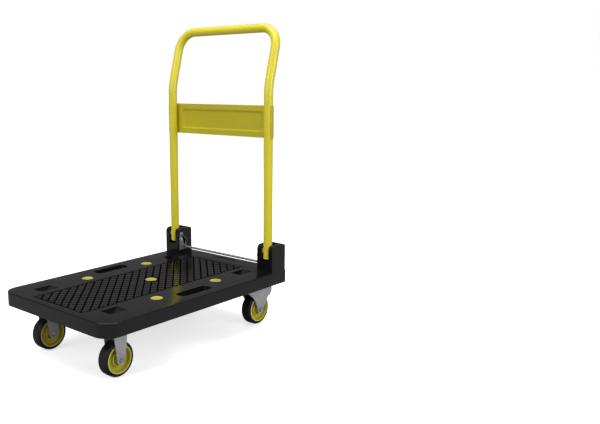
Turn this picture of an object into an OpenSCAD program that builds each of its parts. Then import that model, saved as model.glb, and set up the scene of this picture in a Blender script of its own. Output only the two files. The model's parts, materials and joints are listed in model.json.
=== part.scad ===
// Folding platform cart: plastic deck on two fixed and two swivel casters, with a folding tube handle.
// Millimetres. +X points to the handle end, +Y to the left side, +Z up.
// The origin is on the floor, under the middle of the deck.

/* [Deck] */
// Length of the deck, front to rear
deck_l = 740; // [600:10:900]
// Width of the deck
deck_w = 480; // [400:10:600]
// Height of the deck's side wall
deck_h = 40; // [38:1:50]
// Radius of the two front corners
front_r = 46; // [20:1:55]
// Radius of the two rear corners
rear_r = 14; // [8:1:20]
// Thickness of the deck's top skin
skin_t = 6; // [5:0.5:8]
// Thickness of the deck's side walls
wall_t = 4; // [3:0.5:6]
// Thickness of the ribs under the deck
rib_t = 3; // [2:0.5:5]
// Largest spacing of the ribs
rib_pitch = 62; // [45:1:75]

/* [Deck openings] */
// Length of a hand slot
slot_l = 122; // [90:1:140]
// Width of a hand slot
slot_w = 40; // [30:1:46]
// Corner radius of a hand slot
slot_r = 14; // [6:1:15]
// Distance from the deck's side to the middle of a hand slot
slot_inset = 52; // [44:1:54]
// Length of a strap pocket
pocket_l = 56; // [40:1:60]
// Width of a strap pocket
pocket_w = 42; // [30:1:48]
// Depth of a strap pocket
pocket_depth = 20; // [10:1:22]
// Distance from the deck's front end to the middle of the front pockets
pocket_front = 96; // [80:1:120]
// Distance from the deck's rear end to the middle of the rear pockets
pocket_rear = 127; // [124:1:150]
// Distance from the deck's side to the middle of a pocket
pocket_inset = 84; // [78:1:90]

/* [Tread] */
// Bare margin between the tread and each side of the deck
tread_side = 121; // [115:1:130]
// Bare margin in front of the tread
tread_front = 20; // [14:1:60]
// Bare margin behind the tread
tread_rear = 73; // [70:1:110]
// Thickness of the tread
tread_t = 3; // [2:0.5:3]
// Spacing of the crossed grooves
groove_pitch = 21.5; // [16:0.5:40]
// Width of a groove
groove_w = 4.5; // [1.5:0.1:5]
// Depth of a groove
groove_d = 1.6; // [0.6:0.1:1.8]

/* [Caps] */
// Radius of a round cap
cap_r = 18; // [12:1:20]
// Distance from the middle of the deck to the front and rear caps
cap_x = 121; // [100:1:150]
// Distance from the deck's side to the middle of a side cap
cap_inset = 83; // [76:1:92]

/* [Towers] */
// Depth of a tower, front to rear
tower_d = 66; // [62:1:80]
// Height of a tower above the deck
tower_h = 86; // [84:1:110]
// Thickness of each cheek beside the channel
cheek_t = 15.1; // [13:0.1:20]
// Distance from the deck's rear end to the back of a tower
tower_rear = 12; // [4:1:14]
// Depth that a tower's foot is let into the deck
seat_d = 3; // [2:0.5:3]

/* [Handle] */
// Radius of the handle tube
tube_r = 14; // [11:0.5:17]
// Wall of the handle tube
tube_wall = 1.8; // [1.2:0.1:3]
// Height of the handle's pivot above the deck
pivot_h = 66; // [62:1:68]
// Distance from the pivot up to the bend of the legs
leg_h = 510; // [420:5:560]
// Distance from the bend to the middle of the top bar
tip_l = 186; // [150:1:220]
// Rearward lean of the top of the handle, in degrees
lean = 14.6; // [0.5:0.1:15]
// Radius of the bend in the legs
bend_r = 200; // [100:5:240]
// Radius of the handle's two top corners
corner_r = 62; // [45:1:80]

/* [Cross plate] */
// Height of the cross plate
plate_h = 100; // [80:1:120]
// Distance from the pivot up to the plate's lower edge
plate_rise = 354; // [200:1:370]
// Thickness of the plate
plate_t = 2; // [1.5:0.1:3]
// Depth of the pressed panel in the plate
press_d = 3; // [1:0.5:5]
// Width of the plain border round the pressed panel
press_margin = 20; // [16:1:28]

/* [Latch] */
// Radius of the release rod
rod_r = 4; // [3:0.5:5]
// Angle that the release rod is pressed through, in degrees
press_angle = 12; // [6:1:12]
// Thickness of a latch plate
latch_t = 3; // [2:0.5:4]

/* [Wheels] */
// Radius of a wheel over the tyre
wheel_r = 50; // [40:1:62]
// Width of the tyre
tyre_w = 36; // [24:1:40]
// Thickness of the tyre
tyre_t = 9.5; // [6:0.5:12]
// Radius of an axle bolt
axle_r = 4; // [3:0.5:5]
// Gap between the tyre and the fork's crown
crown_gap = 29; // [14:1:32]
// Thickness of the fork steel
fork_t = 3; // [2:0.5:4]
// Distance from the deck's side to the middle of a wheel
wheel_inset = 86; // [80:1:95]
// Distance from the deck's front end to the front axles
front_axle = 99; // [90:1:130]
// Distance from the deck's rear end to the swivel axes
swivel_rear = 45; // [44:1:60]
// Distance that a rear axle trails its swivel axis
trail = 13; // [5:1:20]
// Height of the ball race between the plate and the fork
race_h = 12.5; // [10:0.5:16]

/* [Hidden] */
$fn = 64;

LEFT = 1;
RIGHT = -1;
BLACK = "#2d2d2f";
YELLOW = "#d8c832";
STEEL = "#a9acae";
RUBBER = "#1c1c1d";

// Clearances
eps = 0.5;               // overrun of a cut past a face
fit_gap = 0.02;          // a fixed shaft in its hole
run_gap = 0.06;          // a turning shaft in its bore
seat_gap = 0.15;         // round a piece that drops into a recess
side_gap = 0.4;          // between flat faces that slide past each other
channel_gap = 1.4;       // between the tube and each cheek
swing_gap = 2.5;         // behind the tube's foot as it swings

// Heights, from the floor up
crown_z = 2 * wheel_r + crown_gap;            // underside of the fork's crown
base_z = crown_z + fork_t + race_h;           // underside of a swivel caster's plate
base_t = 3.5;                                 // thickness of that plate
pad_z = base_z + base_t;                      // underside of the pads that the casters bolt to
pad_recess = 4;                               // how far the pads are up inside the side walls
deck_z0 = pad_z - pad_recess;                 // bottom edge of the deck
deck_z = deck_z0 + deck_h;                    // the load surface
skin_z = deck_z - skin_t;                     // underside of the top skin
pivot_z = deck_z + pivot_h;

// Deck
half_l = deck_l / 2;
half_w = deck_w / 2;
rib_z = deck_z0 + 6;                          // bottom edge of the ribs
collar_t = 3;                                 // wall round a slot or pocket
slot_x = -4;
slot_y = half_w - slot_inset;
pocket_y = half_w - pocket_inset;
pocket_flat = 12;                             // level part of a pocket's floor, before its ramp
pocket_lip = 1;                               // depth of a pocket where its ramp ends
tread_x0 = -half_l + tread_front;
tread_x1 = half_l - tread_rear;
tread_half = half_w - tread_side;
tread_r = 8;
cap_y = half_w - cap_inset;
cap_h = 2.9;                                  // whole height of a cap's head
cap_dome = 1.4;                               // height of its dome
cap_stem_r = 6;
cap_stem_l = 9;
cross_groove_w = 4;                           // groove across the deck, between the tread and the rear end
cross_groove_d = 2;
cross_groove_gap = 5;                         // from the tread to that groove
rear_recess = [20, 90];                       // shallow recess near the deck's rear end
rear_recess_d = 1.5;
rear_recess_inset = 32;
rear_recess_r = 6;

// Towers
channel_w = 2 * (tube_r + channel_gap);
tower_w = channel_w + 2 * cheek_t;
tower_x1 = half_l - tower_rear;
tower_x0 = tower_x1 - tower_d;
tower_y0 = half_w - tower_w;                  // the side that faces the middle of the cart
tower_z0 = deck_z - seat_d;
tower_z1 = deck_z + tower_h;
channel_y0 = tower_y0 + cheek_t;
channel_y1 = channel_y0 + channel_w;
tower_screw_r = 3;
tower_screw_x = [tower_x0 + 22, tower_x0 + 42];
tower_screw_y = [tower_y0 + 29, tower_y0 + 50];

// Handle
leg_x = tower_x0 + tube_r + 2;
leg_y = (channel_y0 + channel_y1) / 2;
foot_l = tube_r + 10;                         // tube below the pivot
plug_t = 2;
foot_swing = norm([tube_r, foot_l + plug_t]);
channel_x1 = leg_x + foot_swing + swing_gap;
channel_z0 = pivot_z - foot_swing - swing_gap;
pin_r = 5;
bush_r = 7;
bush_flange_r = 9.5;
bush_flange_t = 0.9;
pin_head_r = 7.5;
pin_head_t = 2.6;
nut_r = 9;
nut_t = 6;
bend_t = round(100 * bend_r * tan(lean / 2)) / 100;   // from the sharp bend to the end of its arc
bend_z = pivot_z + leg_h - bend_t;
lean_l = tip_l - bend_t - corner_r;           // straight part above the bend
bead_h = 0.05;                                // the slight bead where the bend ends
bead_l = 0.5;

// Cross plate
plate_z = pivot_z + plate_rise;
plate_x = leg_x + tube_r + 0.05;
rivet_r = 2.5;
rivet_inset = 20;
wrap_angle = 115;

// Latch
latch_y1 = tower_y0 - side_gap;
latch_y0 = latch_y1 - latch_t;
latch_x = leg_x - 5;                          // the latch plates' pivot
latch_z = pivot_z - 17;
rod_x = leg_x + 14;
rod_z = pivot_z - 45;
latch_bolt_r = 3;
tooth_x = leg_x + tube_r + 0.5;
tooth_z = pivot_z - foot_l - plug_t - 6;
tooth_w = 5;
tooth_h = 10;
tooth_drop = (tooth_x + tooth_w - latch_x) * sin(press_angle);   // how far a tooth moves when it is pressed
spring_r = 5.2;
spring_wire = 0.7;
spring_turns = 4;
spring_room = 10;

// Casters
wheel_y = half_w - wheel_inset;
front_x = -half_l + front_axle;
swivel_x = half_l - swivel_rear;
rear_x = swivel_x - trail;
fork_in = tyre_w / 2 + 3.2;                   // inner face of a fork leg, from the wheel's middle
fork_out = fork_in + fork_t;
leg_boss_r = 14;
hub_half = fork_in - side_gap;
hub_r = 11;
rim_r = wheel_r - tyre_t;
bush_wall = 2.5;
bolt_head_h = 5;
axle_head_r = 7.5;
fork_front = -64;                             // front and back of a swivel fork's top, from the axle
fork_back = trail + 44;
leg_knee = 34;                                // from the axle up to where a swivel fork's leg widens
scoop_r = 94;                                 // hollow in the front edge of that leg
scoop_z = wheel_r - 19;
race_r = 31;
ball_r = 2.6;
ball_ring_r = 24;
ball_count = 16;
ball_z = crown_z + fork_t + ball_r + side_gap;
kingpin_r = 6;
front_plate = [96, 80];
front_holes = [76, 64];
swivel_plate_size = [74, 84];
swivel_holes = [58, 68];
caster_bolt_r = 3;
caster_bolt_l = 17;

// ---------------------------------------------------------------- helpers

// Keeps the left-hand shape, or mirrors it to the right
module on_side(side) {
    if (side == LEFT) children();
    else mirror([0, 1, 0]) children();
}

// A round bar along Y
module bar_y(x, z, y0, y1, r) {
    translate([x, y0, z]) rotate([-90, 0, 0]) cylinder(h = y1 - y0, r = r);
}

// An outline drawn in X and Z, given thickness from y0 to y1
module slab_xz(y0, y1) {
    translate([0, y1, 0]) rotate([90, 0, 0]) linear_extrude(y1 - y0) children();
}

module block(lo, hi) {
    translate(lo) cube(hi - lo);
}

module round_rect(l, w, r) {
    square([l - 2 * r, w], center = true);
    square([l, w - 2 * r], center = true);
    for (x = [-1, 1], y = [-1, 1]) translate([x * (l / 2 - r), y * (w / 2 - r)]) circle(r);
}

// Four places at the corners of a rectangle
module at_corners(size) {
    for (x = [-1, 1], y = [-1, 1]) translate([x * size[0] / 2, y * size[1] / 2, 0]) children();
}

module hex(r, h) {
    cylinder(h = h, r = r, $fn = 6);
}

// ---------------------------------------------------------------- deck

module deck_outline(inset) {
    l = half_l - inset;
    w = half_w - inset;
    rf = front_r - inset;
    rr = rear_r - inset;
    translate([-l + rf, -w]) square([2 * l - rf - rr, 2 * w]);
    translate([-l, -w + rf]) square([rf + 1, 2 * (w - rf)]);
    translate([l - rr - 1, -w + rr]) square([rr + 1, 2 * (w - rr)]);
    for (s = [-1, 1]) {
        translate([-l + rf, s * (w - rf)]) circle(rf);
        translate([l - rr, s * (w - rr)]) circle(rr);
    }
}

module deck_ribs() {
    in_l = deck_l - 2 * wall_t;
    in_w = deck_w - 2 * wall_t;
    nx = ceil(in_l / rib_pitch);
    ny = ceil(in_w / rib_pitch);
    for (i = [1 : nx - 1])
        translate([-in_l / 2 + i * in_l / nx - rib_t / 2, -in_w / 2 - 1, rib_z])
            cube([rib_t, in_w + 2, skin_z - rib_z + 1]);
    for (i = [1 : ny - 1])
        translate([-in_l / 2 - 1, -in_w / 2 + i * in_w / ny - rib_t / 2, rib_z])
            cube([in_l + 2, rib_t, skin_z - rib_z + 1]);
}

// Where the casters' plates bolt on
module at_front_caster() {
    translate([front_x, wheel_y, 0]) children();
}

module at_swivel() {
    translate([swivel_x, wheel_y, 0]) children();
}

module caster_pad(size) {
    border = 4;
    translate([0, 0, (pad_z + skin_z + 1) / 2])
        cube([size[0] + border, size[1] + border, skin_z + 1 - pad_z], center = true);
}

module at_slot() {
    translate([slot_x, slot_y, 0]) children();
}

module at_pockets() {
    for (x = [-half_l + pocket_front, half_l - pocket_rear]) translate([x, pocket_y, 0]) children();
}

module at_side_caps() {
    for (x = [-cap_x, cap_x]) translate([x, cap_y, 0]) children();
}

// What one side of the deck has under its skin
module deck_side_bosses() {
    at_front_caster() caster_pad(front_plate);
    at_swivel() caster_pad(swivel_plate_size);
    at_slot() translate([0, 0, rib_z]) linear_extrude(skin_z + 1 - rib_z)
        round_rect(slot_l + 2 * collar_t, slot_w + 2 * collar_t, slot_r + collar_t);
    pocket_z = deck_z - pocket_depth - collar_t;
    at_pockets() translate([0, 0, (pocket_z + skin_z + 1) / 2])
        cube([pocket_l + 2 * collar_t, pocket_w + 2 * collar_t, skin_z + 1 - pocket_z], center = true);
}

module cap_seat() {
    translate([0, 0, deck_z - tread_t]) cylinder(h = tread_t + eps, r = cap_r + 2 * seat_gap);
    translate([0, 0, deck_z - tread_t - cap_stem_l - 1])
        cylinder(h = cap_stem_l + 2, r = cap_stem_r + seat_gap);
}

// What is cut out of one side of the deck
module deck_side_cuts() {
    at_slot() translate([0, 0, deck_z0 - eps]) linear_extrude(deck_h + 2 * eps)
        round_rect(slot_l, slot_w, slot_r);
    // each pocket is deepest at its front end, and its floor ramps up behind
    at_pockets() slab_xz(-pocket_w / 2, pocket_w / 2) polygon([
        [-pocket_l / 2, deck_z + eps], [-pocket_l / 2, deck_z - pocket_depth],
        [-pocket_l / 2 + pocket_flat, deck_z - pocket_depth], [pocket_l / 2, deck_z - pocket_lip],
        [pocket_l / 2, deck_z + eps]
    ]);
    at_side_caps() cap_seat();
    block([tower_x0 - seat_gap, tower_y0 - seat_gap, tower_z0],
          [tower_x1 + seat_gap, half_w + 1, deck_z + eps]);
    for (x = tower_screw_x, y = tower_screw_y) {
        translate([x, y, skin_z - eps]) cylinder(h = skin_t, r = tower_screw_r + 0.2);
        translate([x, y, deck_z0]) cylinder(h = skin_z - deck_z0, r = 6.5);
    }
    at_front_caster() at_corners(front_holes) bolt_hole();
    at_swivel() at_corners(swivel_holes) bolt_hole();
}

module bolt_hole() {
    translate([0, 0, pad_z - eps]) cylinder(h = caster_bolt_l + eps, r = caster_bolt_r + fit_gap);
}

module tread_outline(inset) {
    translate([(tread_x0 + tread_x1) / 2, 0])
        round_rect(tread_x1 - tread_x0 - 2 * inset, 2 * (tread_half - inset), max(tread_r - inset, 1));
}

module deck() {
    color(BLACK) difference() {
        union() {
            difference() {
                translate([0, 0, deck_z0]) linear_extrude(deck_h) deck_outline(0);
                translate([0, 0, deck_z0 - eps]) linear_extrude(deck_h - skin_t + eps) deck_outline(wall_t);
            }
            deck_ribs();
            for (side = [LEFT, RIGHT]) on_side(side) deck_side_bosses();
        }
        for (side = [LEFT, RIGHT]) on_side(side) deck_side_cuts();
        cap_seat();
        translate([0, 0, deck_z - tread_t]) linear_extrude(tread_t + eps) tread_outline(0);
        block([tread_x1 + cross_groove_gap, -tower_y0, deck_z - cross_groove_d],
              [tread_x1 + cross_groove_gap + cross_groove_w, tower_y0, deck_z + eps]);
        translate([half_l - rear_recess_inset, 0, deck_z - rear_recess_d]) linear_extrude(rear_recess_d + eps)
            round_rect(rear_recess[0], rear_recess[1], rear_recess_r);
    }
}

// Grooves at 45 degrees, one way, cut to the length that the tread's field gives them
module groove_set(l, w, dir) {
    step = groove_pitch * sqrt(2);
    n = floor((l + w) / step);
    for (i = [-n : n]) {
        c = i * step + (dir > 0 ? 0 : step / 2);
        t0 = max(-l, c - w);
        t1 = min(l, c + w);
        if (t1 - t0 > groove_w)
            translate([t0, dir * (t0 - c), 0]) rotate([0, 0, dir * 45])
                translate([0, -groove_w / 2, 0]) cube([(t1 - t0) * sqrt(2), groove_w, groove_d + eps]);
    }
}

module grip_panel() {
    border = 5;
    top = deck_z - 0.2;
    field_l = (tread_x1 - tread_x0) / 2 - border - groove_w / 2;
    field_w = tread_half - border - groove_w / 2;
    color(BLACK) difference() {
        translate([0, 0, deck_z - tread_t]) linear_extrude(top - deck_z + tread_t) tread_outline(seat_gap);
        translate([0, 0, top - groove_d]) linear_extrude(groove_d + eps) difference() {
            tread_outline(border);
            tread_outline(border + groove_w);
        }
        translate([(tread_x0 + tread_x1) / 2, 0, top - groove_d]) groove_set(field_l, field_w, 1);
        translate([(tread_x0 + tread_x1) / 2, 0, top - groove_d]) groove_set(field_l, field_w, -1);
        translate([0, 0, deck_z - tread_t - eps]) cylinder(h = tread_t + 2 * eps, r = cap_r + 2 * seat_gap);
    }
}

// A round cap with a shallow dome and a stem that snaps into the deck
module cap() {
    dome_r = (cap_r * cap_r + cap_dome * cap_dome) / (2 * cap_dome);
    color(YELLOW) translate([0, 0, deck_z - tread_t]) {
        rotate_extrude() intersection() {
            square([cap_r, cap_h]);
            translate([0, cap_h - dome_r]) circle(dome_r, $fn = 128);
        }
        translate([0, 0, -cap_stem_l]) cylinder(h = cap_stem_l + eps, r = cap_stem_r);
    }
}

// ---------------------------------------------------------------- towers

module tower_profile() {
    front_top = 15;
    rear_top = 8;
    translate([tower_x0, tower_z0]) square([tower_d, tower_z1 - tower_z0 - front_top]);
    translate([tower_x0 + front_top, tower_z0])
        square([tower_d - front_top - rear_top, tower_z1 - tower_z0]);
    translate([tower_x0 + front_top, tower_z0]) square([tower_d - front_top, tower_z1 - tower_z0 - rear_top]);
    translate([tower_x0 + front_top, tower_z1 - front_top]) circle(front_top);
    translate([tower_x1 - rear_top, tower_z1 - rear_top]) circle(rear_top);
}

module tower(side) {
    core_t = 5;
    color(BLACK) on_side(side) difference() {
        slab_xz(tower_y0, half_w) tower_profile();
        // channel for the handle's leg
        block([tower_x0 - eps, channel_y0, channel_z0], [channel_x1, channel_y1, tower_z1 + eps]);
        // hollow in the rear wall, open underneath
        block([channel_x1 + 4, tower_y0 + core_t, tower_z0 - eps],
              [tower_x1 - core_t, half_w - core_t, tower_z1 - 3 * core_t]);
        // pivot bolt, its head and its nut
        bar_y(leg_x, pivot_z, tower_y0 - eps, channel_y1 + nut_t + 3, pin_r + fit_gap);
        bar_y(leg_x, pivot_z, tower_y0 - eps, tower_y0 + pin_head_t + 0.1, pin_head_r + seat_gap);
        translate([leg_x, channel_y1 - eps, pivot_z]) rotate([-90, 0, 0])
            hex(nut_r + seat_gap, nut_t + eps + seat_gap);
        // latch bolt, with room for its spring
        bar_y(latch_x, latch_z, tower_y0 - eps, tower_y0 + cheek_t - 2, latch_bolt_r + fit_gap);
        bar_y(latch_x, latch_z, tower_y0 - eps, tower_y0 + spring_room, spring_r + spring_wire + 1.1);
        // window that the latch tooth works in
        block([tooth_x - 7, tower_y0 - eps, tooth_z - tooth_drop - 2],
              [tooth_x + tooth_w + 1.5, channel_y0 + eps, tooth_z + tooth_h + 2]);
        for (x = tower_screw_x, y = tower_screw_y)
            translate([x, y, tower_z0 - eps]) cylinder(h = 11.5, r = tower_screw_r + fit_gap);
    }
}

module tower_screws() {
    color(STEEL) for (side = [LEFT, RIGHT], x = tower_screw_x, y = tower_screw_y)
        on_side(side) translate([x, y, skin_z]) {
            translate([0, 0, -3.5]) cylinder(h = 3.5, r = 5);
            translate([0, 0, -1]) cylinder(h = skin_t - seat_d + 11, r = tower_screw_r);
        }
}

// ---------------------------------------------------------------- handle

// The path of the handle filled with a bar of radius r, with extra length at its feet
module handle_path(r, extra) {
    foot_z = pivot_z - foot_l - extra;
    bar_half = leg_y - corner_r;
    for (side = [LEFT, RIGHT]) on_side(side) translate([leg_x, leg_y, 0]) {
        translate([0, 0, foot_z]) cylinder(h = bend_z - foot_z, r = r);
        translate([bend_r, 0, bend_z]) mirror([1, 0, 0]) rotate([90, 0, 0])
            rotate_extrude(angle = lean - bead_l / bend_r * 180 / PI) translate([bend_r, 0]) circle(r);
    }
    // the leaning part, turned about the middle of the bend
    translate([leg_x + bend_r, 0, bend_z]) rotate([0, lean, 0]) translate([-bend_r, 0, 0]) {
        for (side = [LEFT, RIGHT]) on_side(side) translate([0, leg_y, 0]) {
            sphere(r + bead_h);
            translate([0, 0, bead_l]) cylinder(h = lean_l - bead_l, r = r);
            translate([0, -corner_r, lean_l]) rotate([90, 0, 90])
                rotate_extrude(angle = 90) translate([corner_r, 0]) circle(r);
        }
        bar_y(0, lean_l + corner_r, -bar_half, bar_half, r);
    }
}

module at_rivets() {
    for (side = [LEFT, RIGHT], z = [plate_z + rivet_inset, plate_z + plate_h - rivet_inset])
        on_side(side) translate([plate_x, leg_y, z]) rotate([0, 90, 0]) children();
}

module handle_tube() {
    color(YELLOW) difference() {
        handle_path(tube_r, 0);
        handle_path(tube_r - tube_wall, 1);
        for (side = [LEFT, RIGHT]) on_side(side)
            bar_y(leg_x, pivot_z, leg_y - tube_r - 1, leg_y + tube_r + 1, bush_r + fit_gap);
        at_rivets() translate([0, 0, -tube_r]) cylinder(h = tube_r + 1, r = rivet_r + fit_gap);
    }
}

// The sheet's outline seen from above, wrapped round one leg
module plate_wrap() {
    r0 = plate_x - leg_x;
    far = 3 * tube_r;
    translate([leg_x, leg_y]) intersection() {
        difference() {
            circle(r0 + plate_t);
            circle(r0);
        }
        polygon([[0, 0], [far, 0], [far, far], [-far, far], far * [cos(wrap_angle), sin(wrap_angle)]]);
    }
}

module cross_plate() {
    press_y = leg_y - tube_r - press_margin;
    color(YELLOW) difference() {
        union() {
            for (side = [LEFT, RIGHT]) on_side(side)
                translate([0, 0, plate_z]) linear_extrude(plate_h) plate_wrap();
            difference() {
                block([plate_x, -leg_y, plate_z], [plate_x + plate_t, leg_y, plate_z + plate_h]);
                block([plate_x - 1, -press_y, plate_z + press_margin],
                      [plate_x + plate_t + 1, press_y, plate_z + plate_h - press_margin]);
            }
            // the panel pressed back out of the sheet
            difference() {
                block([plate_x, -press_y - plate_t, plate_z + press_margin - plate_t],
                      [plate_x + press_d + plate_t, press_y + plate_t, plate_z + plate_h - press_margin + plate_t]);
                block([plate_x - 1, -press_y, plate_z + press_margin],
                      [plate_x + press_d, press_y, plate_z + plate_h - press_margin]);
            }
        }
        at_rivets() translate([0, 0, -1]) cylinder(h = plate_t + 2, r = rivet_r + fit_gap);
    }
}

module plate_rivets() {
    color(STEEL) at_rivets() {
        translate([0, 0, -tube_wall - 1.5]) cylinder(h = tube_wall + 1.5 + plate_t + 1, r = rivet_r);
        translate([0, 0, plate_t + fit_gap]) cylinder(h = 2.2, r1 = 5, r2 = 3.4);
    }
}

module tube_plug(side) {
    color(BLACK) on_side(side) translate([leg_x, leg_y, pivot_z - foot_l - plug_t]) {
        cylinder(h = plug_t, r = tube_r - 0.3);
        cylinder(h = plug_t + 10, r = tube_r - tube_wall - 0.1);
    }
}

module pivot_bush(side) {
    half = tube_r + 0.05;
    color("#e8e4d8") on_side(side) difference() {
        union() {
            bar_y(leg_x, pivot_z, leg_y - half - bush_flange_t, leg_y + half + bush_flange_t, bush_r);
            for (s = [-1, 1]) translate([leg_x, leg_y + s * (half + bush_flange_t / 2), pivot_z])
                rotate([90, 0, 0]) cylinder(h = bush_flange_t, r = bush_flange_r, center = true);
        }
        bar_y(leg_x, pivot_z, channel_y0 - 1, channel_y1 + 1, pin_r + run_gap);
    }
}

module pivot_bolt(side) {
    color(STEEL) on_side(side) {
        bar_y(leg_x, pivot_z, tower_y0 + 1, channel_y1 + nut_t + 2, pin_r);
        difference() {
            bar_y(leg_x, pivot_z, tower_y0, tower_y0 + pin_head_t, pin_head_r);
            translate([leg_x, tower_y0 - eps, pivot_z]) rotate([-90, 0, 0]) hex(3.4, 2);
        }
    }
}

module pivot_nut(side) {
    color(STEEL) on_side(side) translate([leg_x, channel_y1, pivot_z]) rotate([-90, 0, 0]) difference() {
        hex(nut_r, nut_t);
        translate([0, 0, -1]) cylinder(h = nut_t + 2, r = pin_r + fit_gap);
    }
}

// ---------------------------------------------------------------- latch

module release_rod() {
    color(STEEL) bar_y(rod_x, rod_z, -latch_y1, latch_y1, rod_r);
}

module latch_outline() {
    translate([latch_x, latch_z]) circle(8);
    translate([rod_x, rod_z]) circle(rod_r + 5);
    polygon([
        [latch_x - 6, latch_z + 12], [latch_x - 8, rod_z - 10], [rod_x - 8, rod_z - 10],
        [rod_x + 6, rod_z - 4], [tooth_x + tooth_w, tooth_z - 2], [tooth_x + tooth_w, tooth_z + tooth_h + 2],
        [latch_x + 3, latch_z + 19], [latch_x - 3, latch_z + 17]
    ]);
}

// The lip bent inward along the plate's sloping upper edge
module latch_lip() {
    from = [latch_x + 3, latch_z + 19];
    to = [tooth_x + tooth_w, tooth_z + tooth_h + 2];
    run = to - from;
    lip_w = 6;
    translate([from[0], latch_y0 - lip_w, from[1]]) rotate([0, -atan2(run[1], run[0]), 0])
        translate([1, 0, -latch_t]) cube([norm(run) - 2, lip_w + latch_t - 0.5, latch_t - 0.5]);
}

module latch_plate(side) {
    tooth_end = channel_y0 - 0.5;
    color(STEEL) on_side(side) difference() {
        union() {
            slab_xz(latch_y0, latch_y1) latch_outline();
            latch_lip();
            block([tooth_x, latch_y0 + 0.5, tooth_z], [tooth_x + tooth_w - 0.5, tooth_end, tooth_z + tooth_h]);
        }
        bar_y(latch_x, latch_z, latch_y0 - 1, latch_y1 + 1, latch_bolt_r + run_gap);
        bar_y(rod_x, rod_z, latch_y0 - 1, latch_y1 + 1, rod_r + fit_gap);
    }
}

module latch_bolt(side) {
    head_y = latch_y0 - side_gap;
    color(STEEL) on_side(side) {
        bar_y(latch_x, latch_z, head_y - 1, tower_y0 + cheek_t - 3, latch_bolt_r);
        bar_y(latch_x, latch_z, head_y - 2.5, head_y, 5.5);
    }
}

// Points of the torsion spring's wire: a leg, the coil and a second leg
function spring_path() =
    let (
        steps = 20,
        y0 = tower_y0 + spring_wire + 0.5,
        length = spring_room - 2 * spring_wire - 1,
        rise = length / spring_turns,
        coil = [for (i = [0 : spring_turns * steps])
            [latch_x + spring_r * cos(i * 360 / steps), y0 + i * rise / steps,
             latch_z + spring_r * sin(i * 360 / steps)]]
    )
    concat([[latch_x + spring_r, y0, latch_z - 3.6]], coil,
           [[latch_x + spring_r, y0 + length, latch_z + 3.6]]);

// A round wire along a list of points
module wire(path, r, sides) {
    n = len(path);
    tangent = [for (i = [0 : n - 1])
        let (d = path[min(i + 1, n - 1)] - path[max(i - 1, 0)]) d / norm(d)];
    ref = [0, 1, 0];
    rings = [for (i = [0 : n - 1])
        let (u0 = cross(tangent[i], ref), u = u0 / norm(u0), v = cross(tangent[i], u))
        for (k = [0 : sides - 1])
            path[i] + r * (cos(k * 360 / sides) * u + sin(k * 360 / sides) * v)];
    skin = [for (i = [0 : n - 2], k = [0 : sides - 1])
        let (a = i * sides + k, b = i * sides + (k + 1) % sides) [a, b, b + sides, a + sides]];
    ends = [[for (k = [sides - 1 : -1 : 0]) k], [for (k = [0 : sides - 1]) (n - 1) * sides + k]];
    polyhedron(concat(rings), concat(skin, ends), convexity = 6);
}

module latch_spring(side) {
    color(STEEL) on_side(side) wire(spring_path(), spring_wire, 6);
}

// ---------------------------------------------------------------- casters

module caster_bolts() {
    color(STEEL) for (side = [LEFT, RIGHT]) on_side(side) {
        at_front_caster() at_corners(front_holes) translate([0, 0, pad_z - fork_t]) caster_bolt(fork_t);
        at_swivel() at_corners(swivel_holes) translate([0, 0, pad_z - base_t]) caster_bolt(base_t);
    }
}

module caster_bolt(plate) {
    translate([0, 0, -4]) hex(5.5, 4);
    translate([0, 0, -1]) cylinder(h = plate + caster_bolt_l, r = caster_bolt_r);
}

// A fork leg narrowing from the top to the boss round the axle
module front_leg_outline() {
    top_w = 46;
    translate([0, wheel_r]) circle(leg_boss_r);
    polygon([[-leg_boss_r, wheel_r], [leg_boss_r, wheel_r], [top_w / 2, pad_z - 20], [top_w / 2, pad_z - 1],
             [-top_w / 2, pad_z - 1], [-top_w / 2, pad_z - 20]]);
}

// Two legs with an axle hole, standing at the wheel's middle
module fork_legs() {
    difference() {
        for (s = [-1, 1]) slab_xz(s > 0 ? fork_in : -fork_out, s > 0 ? fork_out : -fork_in) children();
        bar_y(0, wheel_r, -fork_out - 1, fork_out + 1, axle_r + fit_gap);
    }
}

module front_fork(side) {
    color(STEEL) on_side(side) at_front_caster() {
        fork_legs() front_leg_outline();
        difference() {
            translate([0, 0, pad_z - fork_t]) linear_extrude(fork_t)
                round_rect(front_plate[0], front_plate[1], 8);
            at_corners(front_holes) translate([0, 0, pad_z - fork_t - 1])
                cylinder(h = fork_t + 2, r = caster_bolt_r + 0.2);
        }
    }
}

// The side of a swivel fork: a wide top, scooped in front down to the boss round the axle
module rear_leg_outline() {
    difference() {
        union() {
            translate([0, wheel_r]) circle(leg_boss_r);
            polygon([[-leg_boss_r, wheel_r], [leg_boss_r, wheel_r], [fork_back - 20, wheel_r + leg_knee],
                     [fork_back - 7, wheel_r + leg_knee + 6], [fork_back, wheel_r + leg_knee + 18],
                     [fork_back, crown_z + fork_t], [fork_front, crown_z + fork_t],
                     [fork_front, crown_z - 11]]);
        }
        translate([-leg_boss_r - scoop_r + 3, scoop_z]) circle(scoop_r, $fn = 128);
    }
}

module rear_fork(side) {
    hub_top = race_h - 1.5;
    color(STEEL) on_side(side) translate([rear_x, wheel_y, 0]) difference() {
        union() {
            fork_legs() rear_leg_outline();
            block([fork_front, -fork_out, crown_z], [fork_back, fork_out, crown_z + fork_t]);
            block([fork_back - fork_t, -fork_out, crown_z - 25], [fork_back, fork_out, crown_z + fork_t]);
            translate([trail, 0, crown_z]) cylinder(h = fork_t, r = race_r);
            translate([trail, 0, crown_z]) cylinder(h = fork_t + hub_top, r = ball_ring_r - ball_r - 0.6);
        }
        translate([trail, 0, crown_z - 1]) cylinder(h = fork_t + hub_top + 2, r = kingpin_r + run_gap);
    }
}

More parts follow.
